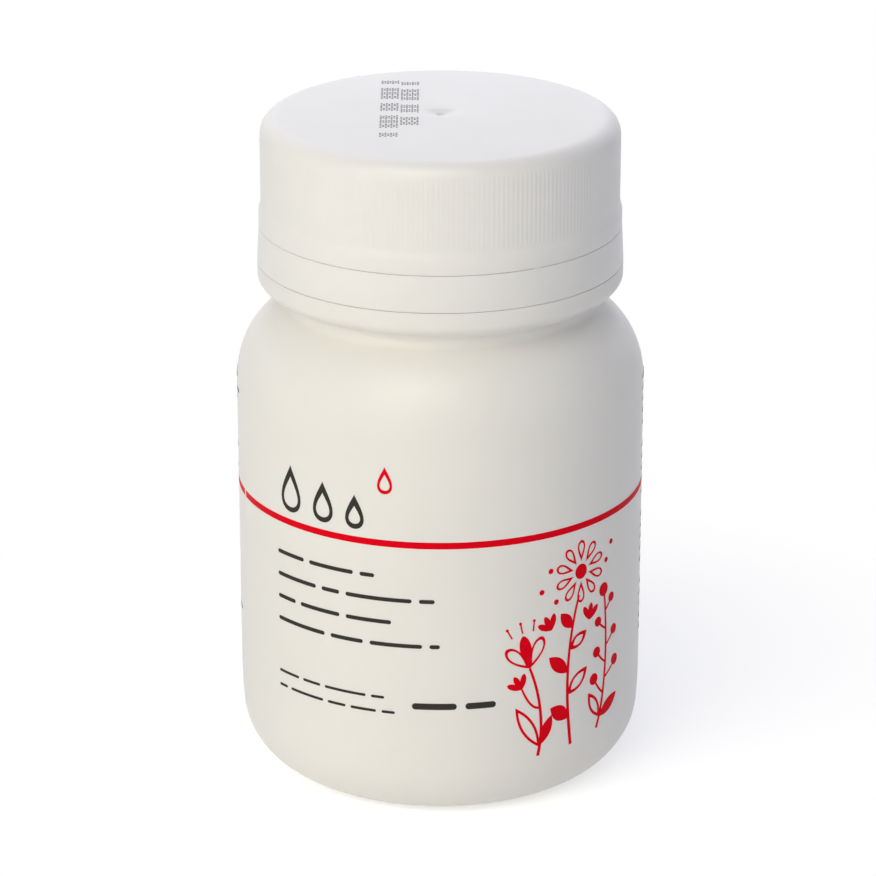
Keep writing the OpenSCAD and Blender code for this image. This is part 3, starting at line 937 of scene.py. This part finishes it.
def seen_directly(tree):
    """1 for rays from the camera and for reflected and refracted ones, and 0 for the rest."""
    rays = add_node(tree, "LightPath").outputs
    glossy = add_node(tree, "Math", {0: rays["Is Camera Ray"], 1: rays["Is Glossy Ray"]}, operation="MAXIMUM")
    values = {0: glossy.outputs[0], 1: rays["Is Transmission Ray"]}
    return add_node(tree, "Math", values, operation="MAXIMUM").outputs[0]


def floor_paint():
    """Pale matte paint near the jar, pure white further out where it is seen. It is clear from below."""
    studio = settings("studio")
    s = Shader("floor_paint", studio.floor_tint, 0.9)
    s.set({"Specular IOR Level": 0.0})
    distance = s.add("VectorMath", {0: s.place}, operation="LENGTH").outputs["Value"]
    fade = s.spread(distance, 0, 1, studio.fade_near, studio.fade_far)
    lift = s.add("Emission", {"Strength": studio.floor_lift})
    lifted = s.add("AddShader", {0: s.surface.outputs[0], 1: lift.outputs[0]})
    faded = mixed(s.tree, fade, lifted, s.add("Emission"))
    shown = mixed(s.tree, seen_directly(s.tree), s.surface, faded)
    from_below = s.add("NewGeometry").outputs["Backfacing"]
    sided = mixed(s.tree, from_below, shown, s.add("BsdfTransparent"))
    s.tree.links.new(sided.outputs[0], s.tree.nodes["Material Output"].inputs["Surface"])
    return s.material


# Pieces


class SPONGEJAR_OT_stage(Operator):
    """Makes the camera, the lamps, the even light and the pale floor"""

    bl_idname = "sponge_jar.stage"
    bl_label = "Stage"

    def execute(self, context):
        studio = settings("studio")
        context.scene.view_settings.view_transform = "Standard"
        self.camera(context, studio)
        self.even_light(context, studio)
        floor = self.floor(context)
        key = self.lamp(context, "key", studio.warm_tint)
        self.lamp(context, "fill", studio.cool_tint)
        # The sheen light shows only as a soft highlight. It stands so high that the cap's flat top mirrors it
        # away from a camera at any side, and the key and top lights aren't mirrored at all.
        sheen = self.lamp(context, "sheen", studio.warm_tint)
        sheen.visible_diffuse = False
        # The top light models the cap's top, and leaves out the floor.
        top = self.lamp(context, "top", studio.cool_tint)
        key.visible_glossy = False
        top.visible_glossy = False
        left_out = bpy.data.collections.new("not_lit_from_the_top")
        left_out.objects.link(floor)
        left_out.collection_objects[0].light_linking.link_state = "EXCLUDE"
        top.light_linking.receiver_collection = left_out
        return {"FINISHED"}

    def camera(self, context, studio):
        """Looks at the jar's front from a little above."""
        away = Vector((0, -cos(studio.elevation), sin(studio.elevation)))
        camera = bpy.data.objects.new("camera", bpy.data.cameras.new("camera"))
        camera.data.lens = studio.lens
        camera.data.sensor_width = 36
        camera.data.clip_start = 10 * MM
        camera.location = Vector((studio.aim_x, 0, studio.aim_z)) + away * studio.distance
        camera.rotation_euler = away.to_track_quat("Z", "Y").to_euler()
        context.scene.collection.objects.link(camera)
        context.scene.camera = camera

    def lamp(self, context, name, colour):
        """A square soft light that faces the jar. Its power, size and place are the studio's of that name."""
        studio = settings("studio")
        data = bpy.data.lights.new(name, "AREA")
        data.size = getattr(studio, name + "_size")
        data.energy = getattr(studio, name)
        data.color = colour
        lamp = bpy.data.objects.new(name, data)
        lamp.location = getattr(studio, name + "_place")
        away = lamp.location - Vector((0, 0, studio.lamp_aim_z))
        lamp.rotation_euler = away.to_track_quat("Z", "Y").to_euler()
        context.scene.collection.objects.link(lamp)
        return lamp

    def even_light(self, context, studio):
        """White to the camera and in reflections, and a lower, cooler level for lighting the jar."""
        world = bpy.data.worlds.new("even_light")
        world.use_nodes = True
        tree = world.node_tree
        lit = tree.nodes["Background"]
        set_inputs(tree, lit, {"Color": (*studio.world_tint, 1), "Strength": studio.world})
        seen = add_node(tree, "Background", {"Color": (1, 1, 1, 1)})
        mix = mixed(tree, seen_directly(tree), lit, seen)
        tree.links.new(mix.outputs[0], tree.nodes["World Output"].inputs["Surface"])
        context.scene.world = world

    def floor(self, context):
        """A round pale floor that keeps the jar's shadow and turns into the white background further out."""
        radius, lowered = 2.0, 0.05 * MM
        bm = bmesh.new()
        under = Matrix.Translation((0, 0, -lowered))
        bmesh.ops.create_circle(bm, cap_ends=True, radius=radius, segments=96, matrix=under)
        mesh = bpy.data.meshes.new("floor")
        bm.to_mesh(mesh)
        bm.free()
        floor = bpy.data.objects.new("floor", mesh)
        context.scene.collection.objects.link(floor)
        mesh.materials.append(floor_paint())
        return floor


class SPONGEJAR_OT_bottle(Operator):
    """Spins the bottle's walls and winds the thread up its neck"""

    bl_idname = "sponge_jar.bottle"
    bl_label = "Bottle"

    def execute(self, context):
        b, t = settings("bottle"), settings("thread")
        walls = bmesh.new()
        lathe(walls, bottle_outline(), ROUND_STEPS)
        thread = bmesh.new()
        ridge(thread, b.neck_r, False, collar_top() + t.neck_z, t.neck_turn)
        bottle = finished(joined(walls, thread), "bottle_shell", bottle_plastic(), "bottle")
        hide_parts("bottle")
        return {"FINISHED"}


class SPONGEJAR_OT_print(Operator):
    """Prints the red stripe, the front's plain marks, the plants and the back panel on the bottle"""

    bl_idname = "sponge_jar.print"
    bl_label = "Print"

    def execute(self, context):
        f = settings("finish")
        red = ink("red_ink", f.ink_red, 0.42)
        grey = ink("grey_ink", f.ink_grey, 0.45)
        finished(self.stripe(), "red_stripe", red, "bottle")
        finished(wrapped(self.plants()), "side_plants", red, "bottle")
        finished(wrapped(self.accent()), "red_drop", red, "bottle")
        finished(wrapped(self.front_marks()), "front_marks", grey, "bottle")
        finished(wrapped(self.back_panel(), 1.0 * MM), "back_panel", grey, "bottle")
        return {"FINISHED"}

    def stripe(self):
        """A ring of ink that is open for a moment where the print starts and ends."""
        p = settings("print")
        r = BOTTLE[1].x
        low, high = p.stripe_z - p.stripe_w / 2, p.stripe_z + p.stripe_w / 2
        gap = p.stripe_gap / r
        bm = bmesh.new()
        outline = [(r - p.ink_sunk, low), (r + p.ink_t, low), (r + p.ink_t, high), (r - p.ink_sunk, high)]
        sector(bm, outline, p.stripe_break - pi / 2 + gap / 2, tau - gap, STRIPE_STEPS)
        return bm

    def plants(self):
        """Three upright plants of different heights, with loose sprigs and seeds between them."""
        lift = settings("print").ink_t
        over = OVERPRINT * lift
        bm = bmesh.new()
        for draw in (self.daisy_plant, self.tulip_plant, self.berry_plant):
            draw(bm, PLANT_LINE, lift, over)
        self.loose_marks(bm, over)
        return bm

    def daisy_plant(self, bm, line, lift, over):
        """The tall plant in the middle, with a large daisy and alternate leaves."""
        stalk = at(16.6, 8.3), at(14.9, 18.5), at(17.6, 27.0)
        petals, petal_reach, petal_width = 10, 3.9 * MM, 1.7 * MM
        leaf_lean = 50
        stem(bm, *stalk, 1.4 * line, line, lift)
        daisy(bm, at(17.9, 29.9), petals, petal_reach, petal_width, over, line)
        for i, t in enumerate((0.18, 0.33, 0.48, 0.63, 0.78)):
            root, lean = on_curve(*stalk, t)
            side = 1 if i % 2 else -1
            reach = (3.2 if i == 0 else 4.6 - 0.45 * i) * MM
            width = (1.9 - 0.1 * i) * MM
            blade(bm, root, reach, width, lean + side * leaf_lean, over, hollow=line * (i % 2))

    def tulip_plant(self, bm, line, lift, over):
        """The plant on the left, with a tulip, a side bud and long leaves."""
        stalk = at(11.9, 8.0), at(13.0, 13.6), at(10.7, 19.4)
        flower_turn, flower_size = -12, 4.3 * MM
        stem(bm, *stalk, 1.3 * line, line, lift)
        tulip(bm, stalk[2], flower_turn, flower_size, line, over)
        # Leaves: place on the stalk, length, width, lean, and width of the line where it is an outlined one
        for t, reach, width, lean, hollow in ((0.1, 6.4, 1.8, -30, line), (0.12, 3.9, 1.4, 24, 0)):
            blade(bm, on_curve(*stalk, t)[0], reach * MM, width * MM, lean, over, hollow=hollow)
        fork = on_curve(*stalk, 0.55)[0]
        bud = at(9.7, 16.9)
        bend = (0.5 * (fork.x + bud[0]), fork.y - 0.2 * MM)
        stem(bm, fork, bend, bud, line, 0.8 * line, lift, segments=8)
        self.sprig(bm, bud, 2.0 * MM, 0.9 * MM, -30, 38, over)

    def berry_plant(self, bm, line, lift, over):
        """The plant on the right, with berries on short stalks and a pair of leaves at its foot."""
        stalk = at(21.0, 9.0), at(23.4, 15.5), at(22.2, 25.6)
        berry_lean, leaf_lean = 48, 46
        stem(bm, *stalk, 1.3 * line, line, lift)
        dot(bm, *at(22.0, 26.4), 0.85 * MM, over)
        for i, t in enumerate((0.30, 0.42, 0.54, 0.66, 0.78, 0.90)):
            root, lean = on_curve(*stalk, t)
            turn = radians(lean + (berry_lean if i % 2 else -berry_lean))
            reach = (2.9 - 0.22 * i) * MM
            berry_r = (0.74 - 0.03 * i) * MM
            tip = (root.x + reach * sin(turn), root.y + reach * cos(turn))
            middle = ((root.x + tip[0]) / 2, (root.y + tip[1]) / 2 - 0.15 * reach)
            stem(bm, root, middle, tip, 0.9 * line, 0.8 * line, lift, segments=6)
            dot(bm, *tip, berry_r, over)
        root, lean = on_curve(*stalk, 0.1)
        for side in (-1, 1):
            outline = line if side < 0 else 0
            blade(bm, root, 4.2 * MM, 1.6 * MM, lean + side * leaf_lean, over, hollow=outline)

    def loose_marks(self, bm, over):
        """Two sprigs and five seeds between the plants."""
        for u, z, turn in ((13.6, 23.6, -28), (19.4, 23.4, 8)):
            self.sprig(bm, at(u, z), 2.1 * MM, 0.95 * MM, turn, 36, over)
        for u, z in ((12.2, 28.6), (13.4, 31.0), (14.2, 27.0), (22.4, 30.0), (23.4, 32.0)):
            dot(bm, *at(u, z), 0.34 * MM, over, segments=12)

    def sprig(self, bm, root, reach, width, turn, spread, over):
        """Three small filled leaves that fan out from one point."""
        for lean in (-spread, 0, spread):
            blade(bm, root, reach, width, turn + lean, over, pinch=0.3, swell=0.3)

    def accent(self):
        """One small red drop above the grey ones."""
        bm = bmesh.new()
        self.drop(bm, at(-6.4, 44.9), 3.3 * MM, 2.5 * MM, 0.42 * MM)
        return bm

    def drop(self, bm, tip, long, wide, line):
        """An outlined drop that hangs from its tip."""
        blade(bm, tip, long, wide, 180, settings("print").ink_t, pinch=0.0, swell=0.7, hollow=line)

    def front_marks(self):
        """Three drops, and plain bars where lines of print would be."""
        p = settings("print")
        bm = bmesh.new()
        # Drops: how far right of the front, and length. They stand on one line.
        drop_foot, drop_line, drop_share = 36.9, 0.62 * MM, 0.78
        for u, long in ((-19.2, 5.8), (-14.3, 5.0), (-10.1, 4.2)):
            self.drop(bm, at(u, drop_foot + long), long * MM, drop_share * long * MM, drop_line)
        # Lines: height, the bars' height, and the bars' lengths from the left margin
        lines = (
            (31.5, 0.5, (4.4, 6.0, 1.8)), (28.7, 0.5, (6.2, 2.4, 8.0, 1.8)), (25.9, 0.5, (3.0, 5.6, 5.6)),
            (23.1, 0.5, (7.4, 4.2, 6.2, 1.2)),
            (16.4, 0.34, (3.4, 2.6, 5.4, 1.6)), (14.6, 0.34, (1.4, 5.0, 2.4, 3.2, 1.6)),
        )
        for z, high, bars in lines:
            u = p.margin_u
            gap = 1.1 * high + 0.3
            for long in bars:
                dash(bm, u, z * MM, long * MM, high * MM, p.ink_t)
                u += (long + gap) * MM
        # The two thick bars at the lower right: left end and length
        thick_z, thick_high = 15.6, 0.8 * MM
        for u, long in ((-3.3, 5.2), (2.9, 3.6)):
            dash(bm, *at(u, thick_z), long * MM, thick_high, p.ink_t)
        return bm

    def back_panel(self):
        """Rows of fine bars in blocks of five, with a row left out between the blocks and at the stripe."""
        p = settings("print")
        bm = bmesh.new()
        dice = random.Random(7)
        left, right = p.back_from * BOTTLE[1].x, p.back_to * BOTTLE[1].x
        rows, block, full_rows = 24, 6, 4
        top_z, pitch, stripe_room = 48.6, 1.45, 1.2 * MM
        high, gap, least = 0.42 * MM, 0.75 * MM, 2 * MM
        for row in range(rows):
            z = (top_z - pitch * row) * MM
            if row % block == block - 1 or abs(z - p.stripe_z) < stripe_room:
                continue
            # The last row of a block ends early, and the others end raggedly
            stop = right - dice.uniform(0, 6 if row % block < full_rows else 30) * MM
            u = left + dice.uniform(0, 0.4) * MM
            while u < stop - least:
                long = min(dice.uniform(1.2, 5.2) * MM, stop - u)
                dash(bm, u, z, long, high, p.ink_t)
                u += long + gap
        return bm


class SPONGEJAR_OT_cap(Operator):
    """Spins the cap, cuts the grooves between its ribs, winds its thread and prints the dots on its top"""

    bl_idname = "sponge_jar.cap"
    bl_label = "Cap"

    def execute(self, context):
        t, c = settings("thread"), settings("cap")
        shell = bmesh.new()
        lathe(shell, cap_outline(), COLUMNS_PER_RIB * c.rib_count)
        self.cut_grooves(shell)
        thread = bmesh.new()
        neck_thread_z = collar_top() + t.neck_z
        ridge(thread, c.bore_r, True, neck_thread_z - (t.base_w + t.crest_w) / 2 - t.flank_gap, t.cap_turn)
        cap = finished(joined(shell, thread), "cap_shell", cap_plastic(), "cap")
        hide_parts("cap")
        code = ink("code_ink", settings("finish").code, 0.5)
        finished(self.code_dots(), "cap_dots", code, "cap")
        return {"FINISHED"}

    def cut_grooves(self, bm):
        """Sinks two of each rib's four columns of points. The grooves run out in the rounded top edge."""
        c = settings("cap")
        foot = CAP[0].z + c.rib_z
        side_top = CAP[1].z - c.crown_h - c.round_h
        run_out = 0.52 * c.round_h
        run_in = 0.3 * MM
        inner_r = c.bore_r + 0.5 * c.wall
        just_over = 0.05 * MM
        narrowing = 0.025
        pitch = tau / c.rib_count
        for vert in bm.verts:
            r = hypot(vert.co.x, vert.co.y)
            if r < inner_r or vert.co.z < foot + just_over or vert.co.z > side_top + run_out:
                continue
            turn = atan2(vert.co.y, vert.co.x)
            column = round(turn / pitch * COLUMNS_PER_RIB) % COLUMNS_PER_RIB
            rise = max(0.0, min(1.0, (vert.co.z - foot) / run_in))
            fall = max(0.0, (vert.co.z - side_top) / run_out)
            depth = c.rib_depth * min(rise, 1 - fall * fall) if column in (1, 2) else 0
            nudge = (narrowing if column in (0, 2) else -narrowing) * pitch
            vert.co.x = (r - depth) * cos(turn + nudge)
            vert.co.y = (r - depth) * sin(turn + nudge)

    def code_dots(self):
        """Two rows of small blocks of ink-jet dots, left of the middle of the top."""
        p = settings("print")
        bm = bmesh.new()
        across, along, r = 0.31 * MM, 0.29 * MM, 0.13 * MM
        tall, wide = 7, 5
        # Rows: distance left of the middle, how far back the row starts, and which of its places hold a block
        rows = ((-5.9, 13.7, "#.###.##.###.#"), (-3.55, 13.0, "#.###.##.##"))
        for x, y, places in rows:
            for n, place in enumerate(places):
                for i in range(wide if place == "#" else 0):
                    for j in range(i % 2, tall, 2):
                        dot_x = x * MM + across * (j - (tall - 1) / 2)
                        dot_y = y * MM - along * ((wide + 1) * n + i)
                        place_at = Matrix.Translation((dot_x, dot_y, top_height(hypot(dot_x, dot_y))))
                        bmesh.ops.create_circle(bm, cap_ends=True, radius=r, segments=8, matrix=place_at)
        made = bmesh.ops.extrude_face_region(bm, geom=list(bm.faces), use_keep_orig=True)
        raised = {v for v in made["geom"] if isinstance(v, bmesh.types.BMVert)}
        for vert in bm.verts:
            vert.co.z += p.ink_t if vert in raised else -p.ink_sunk
        return bm


class SPONGEJAR_OT_tamper_band(Operator):
    """Spins the tamper band with its catch flaps, and the bridges that join it to the cap"""

    bl_idname = "sponge_jar.tamper_band"
    bl_label = "Tamper band"

    def execute(self, context):
        c = settings("cap")
        plastic = bpy.data.materials["cap_polypropylene"]
        ring = bmesh.new()
        lathe(ring, band_outline(), ROUND_STEPS, closed=True)
        flaps = bmesh.new()
        for i in range(c.flap_count):
            sector(flaps, flap_outline(), tau * i / c.flap_count, c.flap_sweep, steps=12)
        band = finished(joined(ring, flaps), "band_ring", plastic, "band")
        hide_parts("tamper_band")
        bridges = finished(self.bridges(), "bridge_tabs", plastic, "cap")
        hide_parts("tamper_bridges")
        return {"FINISHED"}

    def bridges(self):
        """Short tabs that hang from the skirt, flush with it, and end just short of the band."""
        c = settings("cap")
        off_band, off_skirt, inwards = 0.002 * MM, 0.005 * MM, 0.7 * MM
        low, high = BAND[1].z + off_band, BAND[1].z + c.seam + 2 * c.seam_round
        near, far = c.skirt_r - inwards, c.skirt_r - off_skirt
        sweep = c.bridge_w / c.skirt_r
        bm = bmesh.new()
        for i in range(c.bridge_count):
            start = c.bridge_turn - pi / 2 - sweep / 2 + tau * i / c.bridge_count
            sector(bm, [(near, low), (far, low), (far, high), (near, high)], start, sweep, steps=4)
        return bm


class SPONGEJAR_OT_liner(Operator):
    """Spins the cap's liner"""

    bl_idname = "sponge_jar.liner"
    bl_label = "Liner"

    def execute(self, context):
        bm = bmesh.new()
        lathe(bm, liner_outline(), HIDDEN_STEPS)
        liner = finished(bm, "liner_wad", liner_foam(), "liner")
        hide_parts("cap_liner")
        return {"FINISHED"}


class SPONGEJAR_OT_sponge(Operator):
    """Spins the sponge with its finger hole and opens the cells of its surface"""

    bl_idname = "sponge_jar.sponge"
    bl_label = "Sponge"

    def execute(self, context):
        s = settings("sponge")
        step = 0.55 * MM
        wall_share = 0.45  # How much of a cell's width its walls take up
        bm = bmesh.new()
        lathe(bm, evened(sponge_outline(), step), FOAM_STEPS)
        bmesh.ops.recalc_face_normals(bm, faces=bm.faces)
        bm.normal_update()
        for vert in bm.verts:
            near, far = noise.voronoi(vert.co / s.cell, distance_metric="DISTANCE")[0][:2]
            open_cell = min(1.0, (far - near) / wall_share)
            vert.co -= vert.normal * s.cell_depth * open_cell
        sponge = finished(bm, "sponge_plug", sponge_foam(), "bottle", sharp=180)
        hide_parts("sponge")
        return {"FINISHED"}


class SPONGEJAR_OT_remover(Operator):
    """Spins the pool of remover under the sponge"""

    bl_idname = "sponge_jar.remover"
    bl_label = "Remover"

    def execute(self, context):
        bm = bmesh.new()
        lathe(bm, pool_outline(), HIDDEN_STEPS)
        pool = finished(bm, "remover_liquid", remover_liquid(), "bottle")
        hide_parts("remover_pool")
        return {"FINISHED"}


class SPONGEJAR_PT_panel(Panel):
    """Lists the pieces and their sizes"""

    bl_idname = "SPONGEJAR_PT_panel"
    bl_label = "Sponge Jar"
    bl_space_type = "VIEW_3D"
    bl_region_type = "UI"
    bl_category = "Sponge Jar"

    def draw(self, context):
        for maker in MAKERS:
            self.layout.operator(maker.bl_idname)
        for name, group in GROUPS.items():
            box = self.layout.box()
            box.label(text=name.title())
            for item in group.__annotations__:
                box.prop(settings(name), item)


GROUPS = {
    "bottle": BottleSizes,
    "thread": ThreadSizes,
    "cap": CapSizes,
    "sponge": SpongeSizes,
    "print": PrintSizes,
    "finish": Finishes,
    "studio": StudioSettings,
}
MAKERS = (
    SPONGEJAR_OT_stage,
    SPONGEJAR_OT_bottle,
    SPONGEJAR_OT_print,
    SPONGEJAR_OT_cap,
    SPONGEJAR_OT_tamper_band,
    SPONGEJAR_OT_liner,
    SPONGEJAR_OT_sponge,
    SPONGEJAR_OT_remover,
)


def register():
    for name, group in GROUPS.items():
        bpy.utils.register_class(group)
        setattr(bpy.types.Scene, "sponge_jar_" + name, PointerProperty(type=group))
    for maker in (*MAKERS, SPONGEJAR_PT_panel):
        bpy.utils.register_class(maker)


def unregister():
    for maker in (SPONGEJAR_PT_panel, *reversed(MAKERS)):
        bpy.utils.unregister_class(maker)
    for name, group in reversed(list(GROUPS.items())):
        delattr(bpy.types.Scene, "sponge_jar_" + name)
        bpy.utils.unregister_class(group)


def main():
    register()
    bpy.ops.sponge_jar.stage()
    bpy.ops.sponge_jar.bottle()
    bpy.ops.sponge_jar.print()
    bpy.ops.sponge_jar.cap()
    bpy.ops.sponge_jar.tamper_band()
    bpy.ops.sponge_jar.liner()
    bpy.ops.sponge_jar.sponge()
    bpy.ops.sponge_jar.remover()


if __name__ == "__main__":
    main()
